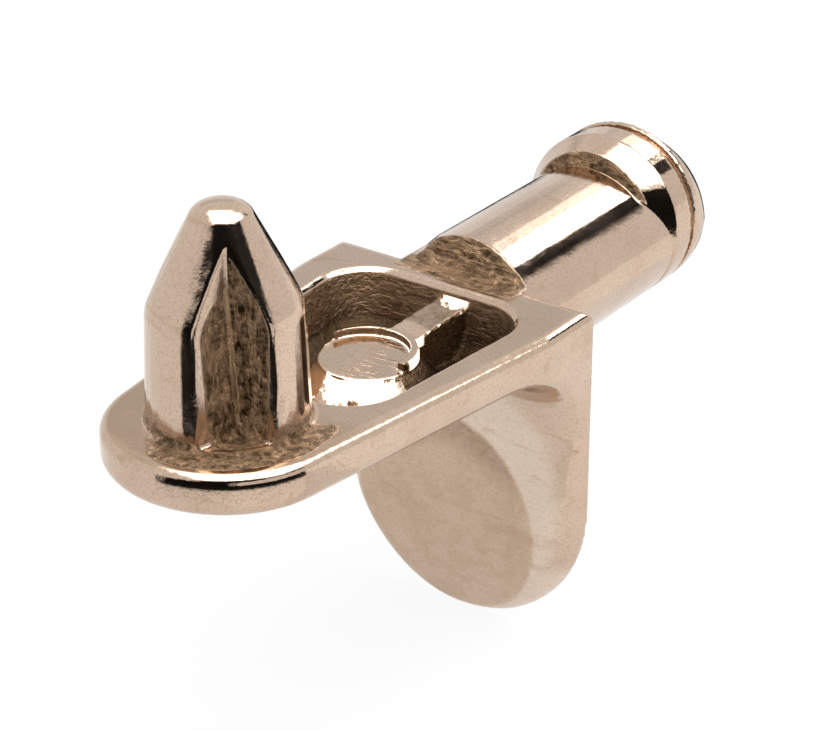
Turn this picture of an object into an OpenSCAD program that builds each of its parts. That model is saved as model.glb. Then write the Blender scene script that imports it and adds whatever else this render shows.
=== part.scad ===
// Shelf support pin: one zinc casting with a pin that plugs into a 5 mm hole
// in the cabinet side, an arm under the shelf, a fluted peg that stands up
// into the shelf, and a brace that bears on the cabinet side below the pin.
//
// Frame: the origin is on the axis of the wall pin, in the plane of the
// cabinet side. +Y runs into the wall, +Z is up and the arm points to -Y.

/* [Wall pin] */
// Diameter of the pin, to suit the hole in the cabinet side
pin_d = 5; // [4:0.1:7]
// Length of the pin from the wall face to the tip of its dome
pin_l = 10.05; // [8.5:0.1:16]
// How far the upper side of the shank is relieved
pin_relief = 0.74; // [0.2:0.02:1.2]
// Distance from the wall face to the full-round collar
collar_y = 6.3; // [4:0.1:6.6]
// Width of the full-round collar
collar_w = 1.55; // [0.8:0.05:2.2]
// Diameter of the collar's face, where its bevelled rim starts
collar_face_d = 3.68; // [3:0.02:4]
// How far that face sits above the axis of the pin
collar_face_rise = 0.36; // [0:0.02:0.5]
// Length over which the rim widens from that face to the full diameter
collar_flare = 0.75; // [0.3:0.05:0.8]
// Width of the groove between the collar and the ring behind it
groove_w = 0.2; // [0.1:0.05:0.6]
// Depth of that groove
groove_h = 0.2; // [0.05:0.05:0.5]
// Width of that ring, up to the dome
ring_w = 0.2; // [0.1:0.05:0.6]
// How far the ring and the dome stand higher than the shank
ring_lift = 0.02; // [0:0.01:0.02]
// How far the upper side of the dome is relieved
dome_relief = 0.3; // [0.02:0.02:0.6]
// How far the end of the shank slopes back over its height
root_slope = 0.34; // [0.1:0.02:0.6]
// How far the foot of that slope reaches out over the arm
root_foot = 0.3; // [0.1:0.02:0.5]
// How much further the slope goes back on the far side, in degrees
root_turn = 3; // [0:1:8]
// Depth by which the far side of the shank falls away at its end
root_fall = 0.12; // [0.04:0.02:0.2]

/* [Arm] */
// Width of the arm at the wall
arm_w = 8.22; // [7:0.1:14]
// Thickness of the arm at its edge
arm_t = 1.17; // [0.8:0.05:3]
// Height of the arm's top face above the axis of the pin
arm_top = 0.86; // [0.5:0.02:1.6]
// Length of the parallel stretch next to the wall
arm_straight = 2; // [0.5:0.1:6]
// Half-width of the rounded end of the arm
tip_rx = 3.03; // [2.6:0.05:3.6]
// Half-length of the rounded end of the arm
tip_ry = 2.83; // [2.5:0.05:4]
// Rounding of the top edges
top_round = 0.3; // [0.05:0.05:0.5]
// Rounding of the bottom edges
low_round = 0.4; // [0.05:0.05:0.6]

/* [Peg] */
// Distance from the wall face to the axis of the peg
peg_y = 9.89; // [9:0.1:16]
// Diameter of the peg at the arm
peg_d = 4.02; // [3:0.1:5]
// Diameter of the peg at its shoulder
peg_shoulder_d = 3.8; // [2.6:0.1:4.6]
// Height of the shoulder above the arm
peg_shoulder_h = 3.18; // [2:0.1:6]
// Diameter of the peg's nose
peg_nose_d = 1.64; // [0.8:0.1:2.4]
// Height of the peg above the arm
peg_h = 5.59; // [4.5:0.1:10]
// Number of flutes round the peg
flute_n = 3; // [2:1:4]
// Turn of the first flute from the arm's end towards +X, in degrees
flute_turn = 45; // [0:1:90]
// Diameter left between the flutes where they meet the arm
flute_core_d = 2.3; // [2:0.1:3]
// Draft of the flutes, which deepen towards the nose, in degrees
flute_draft = 2.4; // [0:0.2:6]
// Opening angle of a flute
flute_angle = 112; // [60:1:114]

/* [Recess] */
// Distance from the wall face to the near end of the recess
recess_y = 0.95; // [0.6:0.05:2]
// Length of the recess along the arm
recess_l = 7.1; // [6:0.1:7.2]
// Width of the recess at the wall end
recess_w = 5.84; // [5:0.1:6.6]
// Width of the recess at the peg end
recess_tip_w = 5.2; // [4:0.1:5.6]
// Corner radius of the recess
recess_r = 1.4; // [0.4:0.1:2]
// Width of the flare round the recess's rim
rim_round = 0.11; // [0.05:0.01:0.2]
// Depth of the recess below the arm's top face
recess_h = 1.66; // [1:0.05:3]
// Thickness of the floor under the recess
floor_t = 0.45; // [0.3:0.05:1]
// Width of the rib that runs out from the wall end
rib_w = 1.0; // [0.5:0.05:1.6]
// How far the rib lies below the arm's top face
rib_drop = 0.55; // [0.3:0.05:1]
// How much higher the rib stands at the wall end
rib_rise = 0.3; // [0:0.05:0.3]
// Turn of the rib from the arm's centre line towards +X, in degrees
rib_turn = 7; // [0:1:10]
// Distance from the wall face to the middle of the round boss
boss_y = 4.2; // [3.6:0.1:4.8]
// Diameter of the round boss
boss_d = 2.64; // [2:0.1:3.6]
// How far the foot of the boss spreads
boss_skirt = 0.62; // [0.1:0.02:0.8]
// Thickness of the lip that half rings the boss
lip_t = 0.25; // [0.15:0.01:0.5]
// Height of the lip above the flat top of the boss
lip_h = 0.24; // [0.1:0.05:0.7]

/* [Brace] */
// Distance from the pin's axis to the bottom of the brace
brace_drop = 9.37; // [8:0.1:14]
// Thickness of the brace
brace_t = 0.98; // [0.6:0.02:2]
// Thickness of the brace at its bottom edge
brace_toe = 0.14; // [0.12:0.02:0.5]
// Distance from the pin's axis to where the front starts to lean back
brace_lean_z = 4.7; // [4:0.1:6]
// Radius of the hollow blend between the brace and the arm
brace_fillet = 2.5; // [1:0.1:3]
// Half-width of the flat front face
face_rx = 2.9; // [1.5:0.05:3.4]
// Half-height of the flat front face
face_rz = 3.17; // [1.5:0.05:3.6]
// Distance from the pin's axis to the middle of the flat front face
face_z = 6.1; // [5:0.1:9]
// Thickness of the rim where the rounded flank meets the wall
flank_rim = 0.1; // [0.05:0.01:0.11]
// Angle of the flank's arc up to the front face
flank_turn = 74; // [60:1:85]
// Angle of that arc where the brace runs out under the arm
fillet_turn = 88; // [75:1:89]
// How much narrower the brace is on the far side, at the wall
far_trim = 0.82; // [0:0.05:0.9]

/* [Hidden] */

$fn = 64;
eps = 0.01;
pin_r = pin_d / 2;
arm_low = arm_top - arm_t;
tip_y = peg_y + 0.26;
brace_r = arm_w / 2;
brace_z = brace_r - brace_drop;
floor_z = arm_top - recess_h;
collar_end = collar_y + collar_w;
ring_y = collar_end + groove_w;
dome_y = ring_y + ring_w;
arm_taper = (brace_r - tip_rx) / (tip_y - arm_straight);

// A quarter circle as [inset, drop] pairs, from the side to the flat.
function quarter(r, n) =
    [for (i = [0 : n]) let (a = 90 * i / n) [r * (1 - cos(a)), r * (1 - sin(a))]];
function lerp(a, b, t) = a + (b - a) * t;
function flip(v) = [for (k = [len(v) - 1 : -1 : 0]) v[k]];

// One level of the arm's outline, moved in all round by `inset`.
module arm_level(z, inset, back) translate([0, 0, z]) linear_extrude(eps) {
    translate([0, -tip_y]) scale([tip_rx - inset, tip_ry - inset]) circle(1);
    translate([inset - arm_w / 2, -arm_straight])
        square([arm_w - 2 * inset, arm_straight - back]);
}

// The arm, with its top and bottom edges rounded.
module arm() hull() {
    for (e = quarter(top_round, 5)) arm_level(arm_top - e[1] - eps, e[0], e[0]);
    for (e = quarter(low_round, 4)) arm_level(arm_low + e[1], e[0], 0);
}

// The four corners of the recess, `d` smaller all round, to be hulled.
module recess_corners(d, z) translate([0, 0, z]) linear_extrude(eps) for (s = [-1, 1]) {
    translate([s * (recess_w / 2 - recess_r), -recess_y - recess_r])
        circle(recess_r - d, $fn = 48);
    translate([s * (recess_tip_w / 2 - recess_r), recess_r - recess_y - recess_l])
        circle(recess_r - d, $fn = 48);
}

// The recess has drafted walls and a rounded floor.
module recess() hull() {
    recess_corners(0.7, floor_z);
    recess_corners(0.3, floor_z + 0.35);
    recess_corners(0.05, arm_top - 0.2);
    recess_corners(0, arm_top + 0.05);
}

// The rim of the recess is broken by a narrow flare.
module recess_rim() hull() {
    recess_corners(0.02, arm_top - rim_round);
    recess_corners(-rim_round - 0.05, arm_top + 0.05);
}

// The underside bulges below the arm to leave a floor under the recess.
module belly() hull() {
    recess_corners(-0.2, arm_low + 0.2);
    recess_corners(0.7, floor_z - floor_t);
}

// The rib slopes up to the wall end and runs into the boss.
module rib() translate([0, -boss_y, 0]) rotate(-rib_turn) difference() {
    h = recess_h - rib_drop;
    length = boss_y - recess_y + 0.4;
    translate([rib_w / 2, 0, floor_z - eps]) rotate([0, -90, 0]) linear_extrude(rib_w)
        polygon([[0, 0], [h, 0], [h, boss_d / 2], [h + rib_rise, length], [0, length]]);
    translate([0, 0, floor_z - 1]) cylinder(r = boss_d / 2 - lip_t / 2, h = 4);
}

// A round boss with a lip round the side that faces the wall. The lip is
// full on the near side and runs out to nothing on the far side.
module boss() translate([-0.08, -boss_y, floor_z - eps]) {
    h = recess_h - rib_drop;
    cylinder(d = boss_d, h = h - lip_h);
    cylinder(d1 = boss_d + 2 * boss_skirt, d2 = boss_d - 0.02, h = h - lip_h - 0.06);
    difference() {
        cylinder(d = boss_d, h = h);
        translate([-lip_t / 2 + 0.015, 0, -eps])
            cylinder(r = boss_d / 2 - lip_t / 2 - 0.015, h = h + 1);
        translate([-boss_d, -boss_d - 0.2, -eps]) cube([2 * boss_d, boss_d, h + 1]);
    }
}

// The peg is turned: a flared foot, a rounded shoulder, a tapered nose. Flutes
// are then cut along it, and the arm's top face closes them below.
module peg() translate([0, -peg_y, arm_top]) difference() {
    nose_r = peg_nose_d / 2;
    nose_z = peg_h - 0.44;
    rotate_extrude() polygon(concat(
        [[0, -0.3], [peg_d / 2 + 0.12, -0.3], [peg_d / 2 + 0.12, 0], [peg_d / 2 + 0.04, 0.04],
         [peg_d / 2, 0.12]],
        [[peg_shoulder_d / 2 + 0.01, peg_shoulder_h - 0.35],
         [peg_shoulder_d / 2 - 0.04, peg_shoulder_h - 0.1],
         [peg_shoulder_d / 2 - 0.14, peg_shoulder_h + 0.12],
         [peg_shoulder_d / 2 - 0.26, peg_shoulder_h + 0.36]],
        [[nose_r, nose_z], [nose_r * 0.9, nose_z + 0.16], [nose_r * 0.76, nose_z + 0.28],
         [nose_r * 0.55, nose_z + 0.37], [nose_r * 0.3, nose_z + 0.42], [0, peg_h]]));
    for (i = [0 : flute_n - 1]) rotate(flute_turn - 90 + i * 360 / flute_n)
        translate([flute_core_d / 2, 0, 0]) rotate([0, -flute_draft, 0])
        linear_extrude(peg_h + 1) polygon([[0, 0],
            [3, 3 * tan(flute_angle / 2)], [3, -3 * tan(flute_angle / 2)]]);
}

// A round bar along +Y, centred on the pin's axis.
module bar(r, y0, y1, dz = 0) translate([0, y0, dz]) rotate([-90, 0, 0])
    cylinder(r = r, h = y1 - y0);

// What lies inside a solid and inside its own copy moved down by `relief`:
// the upper side is shaved, and the lower side keeps its full radius.
module relieved(relief) intersection() {
    children();
    translate([0, 0, -relief]) children();
}

// The shank ends in a hollow slope that rises from the arm's top face. Above
// that face its far side falls away over the last millimetre.
module shank() difference() {
    relieved(pin_relief) bar(pin_r, -0.6, collar_y + 0.6);
    rotate([0, -90, -root_turn]) translate([0, 0, -pin_d]) linear_extrude(2 * pin_d) polygon([
        [arm_top - 0.03, -1.5], [arm_top - 0.03, -root_foot], [arm_top + 0.08, -0.02],
        [arm_top + 0.3, root_slope / 2], [arm_top + 0.9, root_slope],
        [pin_r, root_slope + 0.15], [pin_r, -1.5]]);
    intersection() {
        rotate([0, -45, 0]) translate([0, 0.3, pin_r - 0.54 - root_fall]) rotate([10, 0, 0])
            translate([-2, -2, 0]) cube([4, 4, 2]);
        translate([-pin_d, -2, arm_top + 0.02]) cube([pin_d, 4, pin_d]);
    }
}

// The collar: its rim widens from a smaller face, set above the pin's axis,
// to the full diameter.
module collar() {
    bar(pin_r, collar_y + collar_flare, collar_end);
    hull() {
        bar(collar_face_d / 2, collar_y, collar_y + eps, collar_face_rise);
        bar(pin_r - eps, collar_y + collar_flare, collar_y + collar_flare + 0.1);
    }
}

// The domed end, shaved on its upper side.
module dome() relieved(dome_relief) translate([0, 0, ring_lift]) rotate([-90, 0, 0])
    rotate_extrude() polygon(concat(
        [[0, dome_y - 0.1], [pin_r, dome_y - 0.1]],
        [for (i = [0 : 12]) let (a = 7.5 * i) [pin_r * cos(a), dome_y + (pin_l - dome_y) * sin(a)]]));

// The whole pin, from the arm to the tip of the dome.
module pin() {
    shank();
    collar();
    bar(pin_r - groove_h, collar_end - 0.5, ring_y + 0.1);
    bar(pin_r, ring_y, dome_y, ring_lift);
    dome();
}

// The brace is a loft. Each station is a chain of points from the wall, out
// over the rounded flank, to the edge of the front face.
fillet_n = 12;
face_n = 9;
round_n = 16;
flank_n = 7;
brace_top = arm_low + arm_t / 2;
fillet_z = arm_low - brace_fillet;
fillet_y = -brace_t - brace_fillet;

// Place of the front face at a height, and half-width of its flat part.
function face_y(z) = -(brace_t - (brace_t - brace_toe)
    * pow(max(0, -brace_lean_z - z) / (brace_drop - brace_lean_z), 2));
function face_w(z) = face_rx * oval(abs(z + face_z) / face_rz, z > -face_z ? 3 : 2);
function oval(t, n) = pow(max(0.08, 1 - pow(t, n)), 1 / n);
// Half-width of the arm, and of the brace under it, at a distance from the wall.
function half_w(y) = brace_r - (y < -arm_straight ? arm_taper * (-y - arm_straight) : 0);

// The flank as [inset, fall] pairs, an elliptic arc that stops at angle c.
function flank(w, h, c) = [for (i = [0 : flank_n]) let (a = c * i / flank_n)
    [w * (1 - cos(a)) / (1 - cos(c)), h * (1 - sin(a) / sin(c))]];

// Chain for a station on the straight sides: q is the point of the profile,
// the flank falls back along direction m, and e is the end on the back.
function side_chain(q, m, e, w, h, c) = concat([[half_w(q[0]), e[0], e[1]]],
    [for (f = flank(w, h, c)) [half_w(q[0]) - f[0], q[0] + m[0] * f[1], q[1] + m[1] * f[1]]]);

fillet_chains = [for (j = [0 : fillet_n]) let (u = 1 - j / fillet_n, a = 90 * u,
        q = [fillet_y, fillet_z] + brace_fillet * [cos(a), sin(a)],
        e = u < 0.5 ? [0, lerp(fillet_z, brace_top, 2 * u)]
                    : [lerp(0, fillet_y, 2 * u - 1), brace_top])
    side_chain(q, [cos(a), sin(a)], e,
        lerp(brace_r - face_w(fillet_z), low_round, sin(a)),
        lerp(brace_t - flank_rim, low_round, sin(a)), lerp(flank_turn, fillet_turn, sin(a)))];

face_chains = [for (j = [1 : face_n]) let (z = lerp(fillet_z, brace_z, j / face_n), y = face_y(z))
    side_chain([y, z], [1, 0], [0, z], brace_r - face_w(z), -y - flank_rim, flank_turn)];

// Distance from the middle of the round end to the edge of the flat face.
function face_r(a) = let (d = face_z + brace_z, p = pow(cos(a) / face_rx, 2) + pow(sin(a) / face_rz, 2),
        q = d * sin(a) / pow(face_rz, 2))
    (q + sqrt(q * q - p * (pow(d / face_rz, 2) - 1))) / p;

round_chains = [for (j = [1 : round_n]) let (a = 90 * j / round_n, r = min(face_r(a), brace_r - 0.1),
        y = face_y(brace_z - r * sin(a)))
    concat([[brace_r * cos(a), 0, brace_z - brace_r * sin(a)]],
        [for (f = flank(brace_r - r, -y - flank_rim, flank_turn))
            [(brace_r - f[0]) * cos(a), y + f[1], brace_z - (brace_r - f[0]) * sin(a)]])];

// The far side is a mirror image, but narrower towards the wall.
function far(p) = let (depth = min(1, max(0, p[1] / face_y(brace_z))))
    [-p[0] * (1 - far_trim / brace_r * (1 - pow(depth, 3))), p[1], p[2]];

right_chains = concat(fillet_chains, face_chains, round_chains);
half_n = len(right_chains) - 1;
chains = concat(right_chains, [for (j = [half_n - 1 : -1 : 0])
    [for (p = right_chains[j]) far(p)]]);

// Number of point i of chain j.
function at(j, i) = j * (flank_n + 2) + i;
// A strip of faces across the part, from side to side, at point i of the chains.
function across(i) = [for (j = [0 : half_n - 1]) let (n = len(chains) - 1)
    j < half_n - 1 ? [at(j, i), at(j + 1, i), at(n - 1 - j, i), at(n - j, i)]
                   : [at(j, i), at(j + 1, i), at(n - j, i)]];

module brace() {
    last = flank_n + 1;
    end = len(chains) - 1;
    side = [for (j = [0 : end - 1], i = [0 : flank_n]) each [
        [at(j, i), at(j + 1, i + 1), at(j, i + 1)],
        [at(j, i), at(j + 1, i), at(j + 1, i + 1)]]];
    cap = concat([for (i = [0 : last]) at(0, i)], [for (i = [last : -1 : 0]) at(end, i)]);
    polyhedron(points = [for (c = chains) each c],
        faces = concat(side, across(last), [for (f = across(0)) flip(f)], [cap]),
        convexity = 4);
}

module support_casting() color([0.80, 0.71, 0.63]) union() {
    difference() {
        union() {
            arm();
            belly();
            brace();
        }
        recess();
        recess_rim();
    }
    intersection() {
        union() { rib(); boss(); }
        hull() {
            recess_corners(0.4, floor_z - floor_t / 2);
            recess_corners(-0.2, arm_top - 0.1);
        }
    }
    peg();
    pin();
}

support_casting();
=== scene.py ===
"""Looks of the shelf support pin: a nickel-plated zinc casting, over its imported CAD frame.

Lengths are in metres, in the frame of the part: the origin is on the wall pin's axis at the
cabinet side, +Y runs into the cabinet side, +Z is up and the arm points to -Y. Places on the
casting that its finish goes by are in millimetres.
"""
from math import cos, pi, radians, sin

import bpy
from mathutils import Matrix, Vector


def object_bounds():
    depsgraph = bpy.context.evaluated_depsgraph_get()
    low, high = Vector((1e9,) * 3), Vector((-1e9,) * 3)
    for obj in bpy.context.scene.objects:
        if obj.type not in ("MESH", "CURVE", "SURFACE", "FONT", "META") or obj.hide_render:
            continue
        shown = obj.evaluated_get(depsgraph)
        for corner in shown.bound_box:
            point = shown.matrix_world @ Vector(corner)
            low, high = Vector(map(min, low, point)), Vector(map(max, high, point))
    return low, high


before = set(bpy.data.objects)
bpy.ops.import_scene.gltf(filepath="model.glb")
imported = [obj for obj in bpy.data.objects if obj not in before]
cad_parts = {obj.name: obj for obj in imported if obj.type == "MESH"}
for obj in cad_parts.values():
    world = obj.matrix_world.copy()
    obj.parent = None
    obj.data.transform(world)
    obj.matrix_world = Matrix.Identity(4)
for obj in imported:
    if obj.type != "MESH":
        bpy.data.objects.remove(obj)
cad_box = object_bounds()

MM = 0.001
NODE = "support_casting"

# Camera of the photograph. Its azimuth turns from -Y towards +X.
IMAGE_WIDTH = 818
CAMERA_AZIMUTH = 35.88
CAMERA_ELEVATION = 26.87
CAMERA_ROLL = -0.16
CAMERA_PLACE = Vector((35.4135, -51.4752, 29.7597)) * MM
FOCAL_PIXELS = 2571.0
SENSOR = 36.0
CLIP_START = 1 * MM
CLIP_END = 10

# Nickel plate, as linear colours
NICKEL = (0.575, 0.436, 0.334, 1.0)
NICKEL_WARM = (0.515, 0.378, 0.278, 1.0)
# Painted sheen on the brace's flank
NICKEL_PAINTED_SHEEN = (0.700, 0.575, 0.480, 1.0)
NICKEL_SPECK = (0.400, 0.280, 0.195, 1.0)
# Stain colour, also used as painted shade on the brace's flat front
NICKEL_STAIN_AND_SHADE = (0.400, 0.270, 0.172, 1.0)
# Painted shade at the top of the brace's flat front
NICKEL_PAINTED_SHADE = (0.260, 0.180, 0.118, 1.0)
# Painted shade on the recess floor
BROWN_PAINTED_SHADE = (0.022, 0.013, 0.006, 1.0)
BROWN_DARK = (0.060, 0.036, 0.018, 1.0)
BROWN_LIGHT = (0.500, 0.330, 0.200, 1.0)
PLATE_ROUGHNESS = 0.05
PLATE_ROUGHNESS_DRIFT = 0.10
BROWN_ROUGHNESS = 0.34

# Studio, in metres and degrees
CAMERA_SIDE = 180 - CAMERA_AZIMUTH
WORLD_LIGHT = 0.7
FLOOR_SIZE = 2.0
FLOOR_PAINT = (0.86, 0.86, 0.86, 1)
FLOOR_WHITE_SHARE = 0.93
PAPER_FADE = (0.0, 18 * MM)
PAPER_GLOW = (0.98, 1.2)
PAPER_RADIUS = 22.7 * MM
ROOM_RADIUS = 250 * MM
CARD_LIFT = 0.02 * MM
CARD_BLACK = (0.006, 0.006, 0.006, 1)
# The dark side of the room: heights in millimetres, each with its azimuths from the camera's own
DARK_SIDE = ((0, -74, 58), (100, -74, 58), (130, -77, 43), (160, -80, 30), (260, -80, 20))

# The casting's skin
VOXEL = 0.05 * MM
SOFTEN_FACTOR = 0.5
SOFTEN_PASSES = 2
WAVE_HEIGHT = 0.012 * MM
WAVE_SIZE = 1.1 * MM
# Tilt of the shading normal towards the lamp overhead, which paints glints
GLINT_TILT = (1.05, -1.35, 2.4)

# Places on the casting, in millimetres and degrees from -Y towards +X
PEG_Y = -9.89
BOSS_X, BOSS_Y = -0.08, -4.2
FACE_Z, FACE_HALF_WIDTH, FACE_HALF_HEIGHT = -6.1, 2.9, 3.17
# Azimuth of the painted reflection before the peg: the camera's own
RING_AZIMUTH = 35.9
FLUTE_AZIMUTH = 45

# Zones of the finish: each row gives a measure, where the zone starts and where it is full.
# A zone is full where all of its rows are.
TOWARDS_PEG = ("faces_wall", -0.35, -0.6)
RECESS = (("y", -8.3, -8.15), ("y", -0.9, -1.0), ("z", -1.2, -1.1), ("z", 0.80, 0.66),
          ("off_centre", 3.0, 2.92), ("faces_up", -0.3, -0.15))
BOSS_TOP = (("z", -0.12, -0.02), ("faces_up", 0.80, 0.9))
BOSS_SKIRT = (("from_boss", 2.4, 2.2), ("faces_up", 0.4, 0.5), ("faces_wall", -0.15, -0.3))
ROOT = (TOWARDS_PEG, ("y", -0.5, -0.3), ("y", 1.6, 1.4), ("z", 0.84, 0.92))
ROOT_FOOT = (("y", -0.8, -0.5), ("y", 0.3, 0.1), ("z", 0.82, 0.85), ("off_centre", 2.1, 1.7))
COLLAR_FACE = (TOWARDS_PEG, ("y", 6.1, 6.2), ("y", 6.5, 6.4), ("z", -0.3, 0.3))
FLUTE = (("flute_depth", -0.08, 0.18), ("z", 0.5, 0.6), ("z", 6.2, 5.9))
# A painted highlight along the flute's valley and painted shade right of it
FLUTE_VALLEY_HIGHLIGHT = (("off_valley", 0.09, 0.03),)
FLUTE_SHADE = (("across_flute", 0.0, 0.08), ("across_flute", 1.3, 0.2))
PEG_FOOT = (("from_peg", 1.85, 1.9), ("from_peg", 2.1, 2.05), ("z", 1.9, 0.9))
# A brown ring on the arm before the peg: a painted reflection of the peg
PEG_RING_REFLECTION = (("from_peg", 1.9, 1.95), ("from_peg", 2.9, 2.6), ("z", 0.6, 0.7), ("z", 1.2, 0.95),
            ("ring_ahead", 0.2, 0.9), ("ring_aside", -2.3, -1.2))
ARM_TIP = (("y", -8.0, -9.4), ("faces_up", 0.8, 0.95), ("z", 0.6, 0.7), ("z", 1.2, 0.95))
PEG_END = (("y", -7.9, -8.0),)
UPPER_PEG = PEG_END + (("z", 1.0, 1.2),)
INSIDE = (("z", 0.84, 0.76), ("y", -8.3, -8.1))
# Painted shade deep on the recess floor
PIT_PAINTED_SHADE = INSIDE + (("z", 0.1, -0.5), ("faces_up", 0.1, 0.4))
# Places where glints are painted by tilting the shading normal
SKIRT_GLINT = (("from_boss", 2.3, 2.2), ("faces_up", 0.4, 0.5), ("faces_up", 0.8, 0.75),
               ("faces_wall", -0.15, -0.3), ("ragged_z", -0.62, -0.5),
               ("ragged_x", -0.42, -0.34), ("ragged_x", 1.1, 1.0))
RIB_GLINT = (("ragged_y", -1.38, -1.3), ("y", -0.9, -1.0), ("ragged_x", 0.1, 0.2),
             ("x", 0.9, 0.8), ("z", 0.36, 0.42), ("z", 0.66, 0.6))
LIP_GLINT = (("faces_right", 0.4, 0.6), ("x", 0.3, 0.5), ("y", -4.3, -4.1), ("y", -2.7, -2.9),
             ("z", 0.0, 0.06), ("z", 0.34, 0.3), ("from_boss", 1.9, 1.7))
SCRATCHED = (("z", -0.12, -0.02), ("z", 0.2, 0.15), ("faces_up", 0.8, 0.9), ("x", -0.6, 0.1))
BRACE_FRONT = (("faces_wall", -0.1, -0.4), ("z", -0.9, -1.3))
DISC = (("ragged_reach", 1.02, 0.97),) + BRACE_FRONT
# Painted shade at the top of the brace's flat front, under the arm
DISC_TOP_PAINTED_SHADE = DISC + (("reach", 0.55, 0.95), ("face_height", 0.9, 2.4))
# Where the brace's flank gets a painted sheen
FLANK = (("reach", 0.99, 1.04),) + BRACE_FRONT
UPPER_FLANK = (("leaning_reach", 1.32, 1.12),)
LOWER_FLANK = (("face_height", -0.4, -1.2),)


def direction(azimuth, elevation=0):
    """Unit vector at an azimuth, turned from +Y towards +X, and an elevation, in degrees."""
    a, e = radians(azimuth), radians(elevation)
    return Vector((sin(a) * cos(e), cos(a) * cos(e), sin(e)))


def sweep(first, last, steps):
    """The angles from first to last, in equal steps."""
    return [first + (last - first) * j / steps for j in range(steps + 1)]


def arc(centre, radius, azimuths, height=0.0):
    """Points on a level arc round a centre."""
    return [centre + direction(a) * radius + Vector((0, 0, height)) for a in azimuths]


def facing_origin(azimuth, elevation):
    """The turn that points a camera or a lamp from that side at the origin."""
    return direction(azimuth, elevation).to_track_quat("Z", "Y").to_matrix().to_4x4()


def add_camera():
    data = bpy.data.cameras.new("camera")
    data.sensor_width = SENSOR
    data.sensor_fit = "HORIZONTAL"
    data.lens = FOCAL_PIXELS * SENSOR / IMAGE_WIDTH
    data.clip_start = CLIP_START
    data.clip_end = CLIP_END
    camera = bpy.data.objects.new("camera", data)
    bpy.context.collection.objects.link(camera)
    turn = facing_origin(CAMERA_SIDE, CAMERA_ELEVATION)
    roll = Matrix.Rotation(radians(CAMERA_ROLL), 4, "Z")
    camera.matrix_world = Matrix.Translation(CAMERA_PLACE) @ turn @ roll
    bpy.context.scene.camera = camera


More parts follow.
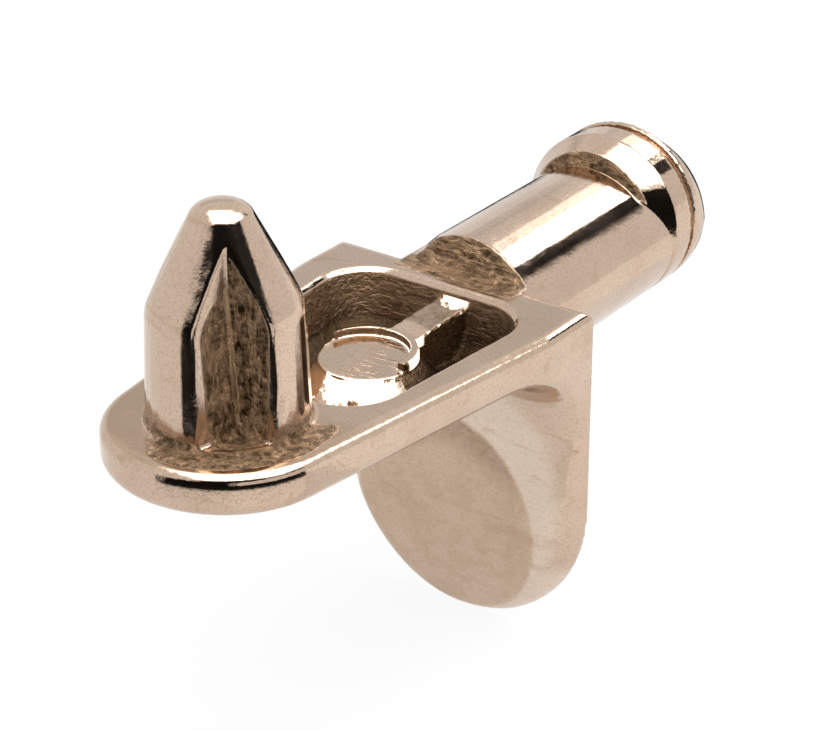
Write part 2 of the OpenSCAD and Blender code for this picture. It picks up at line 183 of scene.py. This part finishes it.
class Nodes:
    """Short names for the nodes that the materials are made of."""

    def __init__(self, owner):
        owner.use_nodes = True
        self.tree = owner.node_tree
        self.tree.nodes.clear()

    def new(self, kind, **settings):
        node = self.tree.nodes.new("ShaderNode" + kind)
        for name, value in settings.items():
            setattr(node, name, value)
        return node

    def feed(self, socket, value):
        if isinstance(value, bpy.types.NodeSocket):
            self.tree.links.new(value, socket)
        else:
            socket.default_value = value

    def shader(self, kind, **inputs):
        node = self.new(kind)
        for name, value in inputs.items():
            self.feed(node.inputs[name], value)
        return node.outputs[0]

    def mix_shaders(self, share, a, b):
        node = self.new("MixShader")
        for socket, value in zip(node.inputs, (share, a, b)):
            self.feed(socket, value)
        return node.outputs[0]

    def surface(self, shader, kind="OutputMaterial"):
        self.feed(self.new(kind).inputs["Surface"], shader)

    def math(self, operation, a, b=0.0, clamp=False):
        node = self.new("Math", operation=operation, use_clamp=clamp)
        self.feed(node.inputs[0], a)
        self.feed(node.inputs[1], b)
        return node.outputs[0]

    def scale(self, value, factor, offset=0.0):
        node = self.new("Math", operation="MULTIPLY_ADD")
        self.feed(node.inputs[0], value)
        node.inputs[1].default_value = factor
        node.inputs[2].default_value = offset
        return node.outputs[0]

    def total(self, *values):
        return self.gather("ADD", values)

    def every(self, *masks):
        return self.gather("MULTIPLY", masks)

    def either(self, *masks):
        return self.gather("MAXIMUM", masks)

    def gather(self, operation, values):
        whole = values[0]
        for value in values[1:]:
            whole = self.math(operation, whole, value)
        return whole

    def length(self, a, b):
        return self.math("SQRT", self.total(self.math("MULTIPLY", a, a),
                                            self.math("MULTIPLY", b, b)))

    def step(self, value, start, full):
        """0 up to start and 1 from full on, with a smooth rise. It falls if full < start."""
        rises = start < full
        node = self.new("MapRange", interpolation_type="SMOOTHSTEP")
        self.feed(node.inputs["Value"], value)
        node.inputs["From Min"].default_value = min(start, full)
        node.inputs["From Max"].default_value = max(start, full)
        node.inputs["To Min"].default_value = 0.0 if rises else 1.0
        node.inputs["To Max"].default_value = 1.0 if rises else 0.0
        return node.outputs[0]

    def zone(self, at, edges):
        """1 inside a zone and 0 outside it."""
        return self.every(*[self.step(at[measure], start, full)
                            for measure, start, full in edges])

    def blend(self, share, a, b):
        node = self.new("Mix", data_type="FLOAT")
        self.feed(node.inputs[0], share)
        self.feed(node.inputs[2], a)
        self.feed(node.inputs[3], b)
        return node.outputs[0]

    def mix(self, share, a, b):
        node = self.new("Mix", data_type="RGBA")
        self.feed(node.inputs[0], share)
        self.feed(node.inputs[6], a)
        self.feed(node.inputs[7], b)
        return node.outputs[2]

    def tint(self, colour, tone, mask, share):
        return self.mix(self.math("MULTIPLY", mask, share), colour, tone)

    def vector(self, operation, a, b=None):
        node = self.new("VectorMath", operation=operation)
        self.feed(node.inputs[0], a)
        if b is not None:
            self.feed(node.inputs["Scale" if operation == "SCALE" else 1], b)
        return node.outputs[0]

    def parts(self, vector):
        node = self.new("SeparateXYZ")
        self.feed(node.inputs[0], vector)
        return list(node.outputs)

    def noise(self, place, per_mm, detail=3.0, roughness=0.5, distortion=0.0):
        node = self.new("TexNoise")
        self.feed(node.inputs["Vector"], place)
        node.inputs["Scale"].default_value = per_mm / MM
        node.inputs["Detail"].default_value = detail
        node.inputs["Roughness"].default_value = roughness
        node.inputs["Distortion"].default_value = distortion
        return node.outputs["Fac"]

    def bump(self, height, distance, strength, below=None):
        node = self.new("Bump")
        self.feed(node.inputs["Strength"], strength)
        node.inputs["Distance"].default_value = distance
        self.feed(node.inputs["Height"], height)
        if below is not None:
            self.feed(node.inputs["Normal"], below)
        return node.outputs[0]

    def seen_directly(self):
        """1 for what the camera sees, straight on, in metal or through glass, 0 for light."""
        path = self.new("LightPath").outputs
        return self.either(path["Is Camera Ray"], path["Is Glossy Ray"],
                           path["Is Transmission Ray"])


def add_world():
    world = bpy.data.worlds.new("studio")
    bpy.context.scene.world = world
    n = Nodes(world)
    white = (1, 1, 1, 1)
    light = n.shader("Background", Color=white, Strength=WORLD_LIGHT)
    backdrop = n.shader("Background", Color=white, Strength=1.0)
    n.surface(n.mix_shaders(n.seen_directly(), light, backdrop), "OutputWorld")


def paper_glow(n):
    """The paper's glow is painted brighter on its right, which the metal shows."""
    across = n.parts(n.new("TexCoord").outputs["Object"])[0]
    fade = n.new("MapRange", interpolation_type="SMOOTHSTEP")
    n.feed(fade.inputs["Value"], across)
    fade.inputs["From Min"].default_value, fade.inputs["From Max"].default_value = PAPER_FADE
    fade.inputs["To Min"].default_value, fade.inputs["To Max"].default_value = PAPER_GLOW
    return fade.outputs[0]


def add_floor():
    """White paper under the part, which keeps the part's shadow."""
    bpy.ops.mesh.primitive_plane_add(size=FLOOR_SIZE, location=(0, 0, cad_box[0][2]))
    floor = bpy.context.object
    floor.name = "floor"
    material = bpy.data.materials.new("white_floor")
    n = Nodes(material)
    paint = n.shader("BsdfDiffuse", Color=FLOOR_PAINT)
    glow = n.shader("Emission", Strength=paper_glow(n))
    share = n.scale(n.seen_directly(), FLOOR_WHITE_SHARE)
    n.surface(n.mix_shaders(share, paint, glow))
    floor.data.materials.append(material)


def add_softbox(name, azimuth, elevation, distance, size, radiance, shift=0.0):
    """A rectangular lamp that faces the part, shifted along its own width.

    Its power follows from its size and radiance.
    """
    data = bpy.data.lights.new(name, "AREA")
    data.shape = "RECTANGLE"
    data.size, data.size_y = size
    data.energy = radiance * pi * data.size * data.size_y
    lamp = bpy.data.objects.new(name, data)
    bpy.context.collection.objects.link(lamp)
    away = direction(azimuth, elevation) * distance
    turn = facing_origin(azimuth, elevation)
    lamp.matrix_world = Matrix.Translation(away) @ turn @ Matrix.Translation((shift, 0, 0))


def add_card(name, rows, glow=0.0):
    """A card that only the metal's reflections show: it glows, or it is black.

    Its corners come in rows of equal length.
    """
    across = len(rows[0])
    points = [p for row in rows for p in row]
    faces = [(i * across + j, i * across + j + 1, (i + 1) * across + j + 1, (i + 1) * across + j)
             for i in range(len(rows) - 1) for j in range(across - 1)]
    mesh = bpy.data.meshes.new(name)
    mesh.from_pydata(points, [], faces)
    card = bpy.data.objects.new(name, mesh)
    bpy.context.collection.objects.link(card)
    material = bpy.data.materials.new(name)
    n = Nodes(material)
    if glow:
        n.surface(n.shader("Emission", Strength=glow))
    else:
        n.surface(n.shader("BsdfDiffuse", Color=CARD_BLACK))
    mesh.materials.append(material)
    card.visible_camera = False
    card.visible_diffuse = False
    card.visible_shadow = False


def table_centre():
    """Below the shelf peg, a hair above the paper."""
    return Vector((0, PEG_Y * MM, cad_box[0][2] + CARD_LIFT))


def add_dark_side():
    """The unlit side of the studio, behind the camera: the table beyond the paper, and the room."""
    spans = [(height * MM, sweep(CAMERA_SIDE + first, CAMERA_SIDE + last, 24))
             for height, first, last in DARK_SIDE]
    centre = table_centre()
    add_card("dark_table", [arc(centre, radius, spans[0][1])
                            for radius in (PAPER_RADIUS, ROOM_RADIUS)])
    add_card("dark_room", [arc(centre, ROOM_RADIUS, azimuths, height)
                           for height, azimuths in spans])


def add_dark_back():
    """Something dark on the table behind the part, which draws thin black lines on its right."""
    near, far = 33 * MM, 170 * MM
    azimuths = sweep(-33, -3, 8)
    add_card("dark_back", [arc(table_centre(), radius, azimuths) for radius in (near, far)])


def add_pale_cards():
    """White card close to the part: right of its tip, before its brace, and behind its peg."""
    peg_axis = Vector((0, PEG_Y * MM, 0))
    curl_radius, curl_low, curl_high = 11.5 * MM, 0.6 * MM, 5.0 * MM
    azimuths = sweep(78, 139, 12)
    add_card("pale_curl", [arc(peg_axis, curl_radius, azimuths, height)
                           for height in (curl_low, curl_high)], glow=1.0)
    for name, left, right, y, low, high in (("pale_fold", -1, 9, -8, -9.0, -1.2),
                                            ("nose_screen", -4, 5, 1.5, 11.0, 21.0)):
        add_card(name, [[Vector((x, y, z)) * MM for x in (left, right)] for z in (low, high)],
                 glow=1.0)


def add_flag():
    """A dark card on a slant under the key light, which draws the black band along the wall pin."""
    distance = 0.2
    corners = (((25.5, 21.5), (32.5, 35.5)), ((11.5, 28.5), (19, 42.5)))
    add_card("flag", [[direction(azimuth, elevation) * distance for azimuth, elevation in row]
                      for row in corners])


def add_grey_wall():
    """A duller stretch of the room behind, which the flat tops of the arm and boss show."""
    distance, low, high = 0.5, 19, 31
    azimuths = sweep(-30, -66, 8)
    add_card("grey_wall", [[direction(azimuth, elevation) * distance for azimuth in azimuths]
                           for elevation in (low, high)], glow=0.80)


def surface_measures(n, place, ragged):
    """What the zones are given in: millimetres, and how far a place faces each way, from -1 to 1.

    The ragged measures carry the noise that breaks up a zone's border.
    """
    x, y, z = (n.math("DIVIDE", part, MM) for part in n.parts(place))
    right, wall, up = n.parts(n.new("NewGeometry").outputs["Normal"])
    at = {"x": x, "y": y, "z": z, "off_centre": n.math("ABSOLUTE", x),
          "faces_right": right, "faces_wall": wall, "faces_up": up}
    for axis in "xyz":
        at["ragged_" + axis] = n.total(at[axis], n.scale(ragged, 1.6))
    at["from_boss"] = n.length(n.math("SUBTRACT", x, BOSS_X), n.math("SUBTRACT", y, BOSS_Y))
    add_peg_measures(n, at)
    add_brace_measures(n, at, ragged)
    return at


def add_peg_measures(n, at):
    """Adds measures round the shelf peg: from its axis, along its brown ring, across its flute."""
    x, y = at["x"], n.math("SUBTRACT", at["y"], PEG_Y)
    turn = radians(RING_AZIMUTH)
    at["from_peg"] = n.length(x, y)
    at["ring_ahead"] = n.total(n.scale(x, sin(turn)), n.scale(y, -cos(turn)))
    at["ring_aside"] = n.total(n.scale(x, cos(turn)), n.scale(y, sin(turn)))
    # The flute's valley leans a little as it rises
    across = n.scale(n.total(x, y), cos(radians(FLUTE_AZIMUTH)))
    at["across_flute"] = n.total(across, n.scale(at["z"], 0.045, -0.16))
    at["off_valley"] = n.math("ABSOLUTE", at["across_flute"])
    # Below the peg's skin, which tapers, with a wider bright margin on the flute's left wall
    skin = n.scale(n.step(at["z"], 3.5, 6.6), -1.25, 2.0)
    left_margin = n.scale(n.step(at["z"], 3.6, 5.6), 0.45, 0.16)
    left_margin = n.every(n.step(at["faces_right"], 0.4, 0.8), left_margin)
    margin = n.math("ADD", left_margin, 0.12)
    at["flute_depth"] = n.math("SUBTRACT", n.math("SUBTRACT", skin, at["from_peg"]), margin)


def add_brace_measures(n, at, ragged):
    """Adds how far out a place lies on the brace's flat front, 1 at its border, and how high."""
    height = n.math("SUBTRACT", at["z"], FACE_Z)
    reach = n.length(n.math("DIVIDE", at["x"], FACE_HALF_WIDTH),
                     n.math("DIVIDE", height, FACE_HALF_HEIGHT))
    at["face_height"] = height
    at["reach"] = reach
    at["ragged_reach"] = n.total(reach, n.scale(ragged, 0.12))
    at["leaning_reach"] = n.total(reach, n.scale(height, -0.078))


def brown_mask(n, at, ragged, painted_glints):
    """Where tumbling left the plate brown and dull; painted reflection and shade by the peg."""
    boss_top = n.scale(n.step(at["from_boss"], 1.9, 1.6), 0.4, 0.5)
    boss_top = n.every(n.zone(at, BOSS_TOP), boss_top)
    polished = n.either(boss_top, n.zone(at, BOSS_SKIRT))
    recess = n.every(n.zone(at, RECESS), n.math("SUBTRACT", 1.0, polished))
    collar_face = n.scale(n.zone(at, COLLAR_FACE), 0.85)
    # Brown on the peg's foot, only on its sides as the camera sees them: partly brown finish,
    # partly painted shade
    sides = n.step(n.math("ABSOLUTE", at["ring_aside"]), 0.7, 1.5)
    peg_foot = n.every(n.zone(at, PEG_FOOT), n.scale(sides, 0.6))
    # The brown ring on the arm before the peg is a painted reflection of the peg
    places = n.either(recess, n.zone(at, ROOT), n.zone(at, ROOT_FOOT), collar_face,
                      n.zone(at, FLUTE), peg_foot, n.zone(at, PEG_RING_REFLECTION))
    places = n.math("ADD", places, n.scale(ragged, 0.5), clamp=True)
    # The places with painted glints keep the bright plate
    return n.every(n.step(places, 0.25, 0.75), n.math("SUBTRACT", 1.0, painted_glints))


def crust_tone(n, at, place, mottle):
    """How light the brown is: streaks on the peg and the root, calmer in the recess."""
    upright = n.vector("MULTIPLY", place, (1, 1, 0.3))
    level = n.vector("MULTIPLY", place, (0.35, 1, 1.3))
    flow = n.blend(n.zone(at, PEG_END),
                   n.noise(level, 5.0, detail=4, roughness=0.6, distortion=0.6),
                   n.noise(upright, 6.0, detail=4, roughness=0.6, distortion=0.6))
    crust = n.blend(0.5, mottle, n.step(flow, 0.38, 0.62))
    # In the recess the brown is lighter on the far side and gets painted shade on its floor
    far_side = n.step(at["x"], 1.0, -1.6)
    floor = n.step(at["faces_up"], 0.3, 0.8)
    calm = n.total(n.scale(crust, 0.25, 0.20), n.scale(far_side, 0.22), n.scale(floor, -0.22))
    # A painted highlight along the flute's valley and painted shade to the right of it
    flute = n.total(n.scale(n.zone(at, FLUTE_VALLEY_HIGHLIGHT), 0.6),
                    n.scale(n.zone(at, FLUTE_SHADE), -0.22))
    crust = n.math("ADD", crust, n.every(flute, n.zone(at, UPPER_PEG)), clamp=True)
    return n.blend(n.zone(at, INSIDE), crust, calm)


def plate_colour(n, at, place, mottle):
    """The bright plate: warm drifts, stains and specks, painted sheen and shade on the brace."""
    level = n.vector("MULTIPLY", place, (0.35, 1, 1.3))
    warm = n.step(n.noise(place, 0.45, detail=4, roughness=0.6), 0.40, 0.7)
    stain = n.noise(level, 1.1, detail=6, roughness=0.65, distortion=1.2)
    stain = n.step(stain, 0.56, 0.72)
    blotch = n.noise(place, 1.6, detail=8, roughness=0.75, distortion=0.5)
    blotch = n.step(blotch, 0.42, 0.62)
    speck = n.step(n.noise(place, 14.0, detail=3, roughness=0.7), 0.46, 0.68)
    # Painted sheen on the brace's flank
    flank = n.either(n.zone(at, UPPER_FLANK), n.zone(at, LOWER_FLANK))
    flank = n.every(n.zone(at, FLANK), flank)
    colour = n.tint(NICKEL, NICKEL_WARM, warm, 0.7)
    colour = n.tint(colour, NICKEL_PAINTED_SHEEN, flank, 0.7)
    colour = n.tint(colour, NICKEL_STAIN_AND_SHADE, stain, 0.5)
    # Painted shade on the brace's flat front, for the shaded paper it reflects, broken up in
    # blotches
    colour = n.tint(colour, NICKEL_STAIN_AND_SHADE, n.zone(at, DISC), n.scale(blotch, 0.3, 0.16))
    # Painted shade at the top of the brace's flat front, under the arm
    colour = n.tint(colour, NICKEL_PAINTED_SHADE, n.zone(at, DISC_TOP_PAINTED_SHADE), n.scale(mottle, 0.45, 0.42))
    # The top of the arm's tip is darkened with the stain colour
    colour = n.tint(colour, NICKEL_STAIN_AND_SHADE, n.zone(at, ARM_TIP), 0.55)
    return n.tint(colour, NICKEL_SPECK, speck, n.scale(flank, -0.25, 0.55))


def skin_normal(n, at, place, crust, brown, painted_glints):
    """Fine grain over the orange peel of the plated casting, and a coarser crust where it is dull.

    At the glint places the normal is tilted towards the lamp overhead, which paints glints there.
    """
    grain = n.bump(n.noise(place, 12.0, detail=4, roughness=0.65), 0.008 * MM, 0.4)
    peel = n.noise(place, 1.8, detail=2, roughness=0.5, distortion=0.4)
    skin = n.bump(peel, 0.03 * MM, 0.2, grain)
    skin = n.bump(crust, 0.08 * MM, n.scale(brown, 0.9), skin)
    along = n.vector("MULTIPLY", place, (0.3, 2.2, 1))
    scratch = n.step(n.noise(along, 3.0, detail=3, roughness=0.6), 0.52, 0.60)
    skin = n.bump(scratch, 0.05 * MM, n.scale(n.zone(at, SCRATCHED), 0.4), skin)
    tilt = n.vector("SCALE", GLINT_TILT, painted_glints)
    return n.vector("NORMALIZE", n.vector("ADD", skin, tilt))


def nickel():
    material = bpy.data.materials.new("nickel_plate")
    n = Nodes(material)
    place = n.new("TexCoord").outputs["Object"]
    ragged = n.math("SUBTRACT", n.noise(place, 3.0, detail=5, roughness=0.65), 0.5)
    at = surface_measures(n, place, ragged)
    # Painted glints: places whose shading normal is tilted to catch the lamp overhead
    painted_glints = n.either(*[n.zone(at, glint) for glint in (SKIRT_GLINT, RIB_GLINT, LIP_GLINT)])
    brown = brown_mask(n, at, ragged, painted_glints)
    mottle = n.step(n.noise(place, 5.0, detail=6, roughness=0.75), 0.36, 0.66)
    crust = crust_tone(n, at, place, mottle)
    # Painted shade deep on the recess floor
    dull = n.tint(n.mix(crust, BROWN_DARK, BROWN_LIGHT), BROWN_PAINTED_SHADE, n.zone(at, PIT_PAINTED_SHADE), 0.85)
    polish = n.scale(n.noise(place, 0.9), PLATE_ROUGHNESS_DRIFT, PLATE_ROUGHNESS)

    metal = n.new("BsdfPrincipled")
    metal.inputs["Metallic"].default_value = 1.0
    n.feed(metal.inputs["Base Color"], n.mix(brown, plate_colour(n, at, place, mottle), dull))
    n.feed(metal.inputs["Roughness"], n.blend(brown, polish, BROWN_ROUGHNESS))
    n.feed(metal.inputs["Normal"], skin_normal(n, at, place, crust, brown, painted_glints))
    n.surface(metal.outputs[0])
    return material


def finish_casting():
    """Softened edges and a slightly uneven skin, on the CAD node itself."""
    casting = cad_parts[NODE]
    remesh = casting.modifiers.new("skin", "REMESH")
    remesh.mode = "VOXEL"
    remesh.voxel_size = VOXEL
    remesh.use_smooth_shade = True
    soften = casting.modifiers.new("soften", "SMOOTH")
    soften.factor = SOFTEN_FACTOR
    soften.iterations = SOFTEN_PASSES
    clouds = bpy.data.textures.new("casting_waves", "CLOUDS")
    clouds.noise_scale = WAVE_SIZE
    clouds.noise_depth = 2
    waves = casting.modifiers.new("waves", "DISPLACE")
    waves.texture = clouds
    waves.strength = WAVE_HEIGHT
    waves.mid_level = 0.5
    casting.data.materials.clear()
    casting.data.materials.append(nickel())


def main():
    bpy.context.scene.view_settings.view_transform = "Standard"
    add_camera()
    add_world()
    add_floor()
    finish_casting()
    add_dark_side()
    add_dark_back()
    add_pale_cards()
    add_grey_wall()
    add_flag()
    add_softbox("key", azimuth=4, elevation=36, distance=0.25, size=(0.075, 0.05), radiance=7.0)
    add_softbox("key_spill", azimuth=-11, elevation=35, distance=0.25, size=(0.06, 0.05),
                radiance=1.35)
    add_softbox("top", azimuth=CAMERA_SIDE, elevation=77, distance=0.2, size=(0.37, 0.25),
                radiance=4.0, shift=0.085)


main()
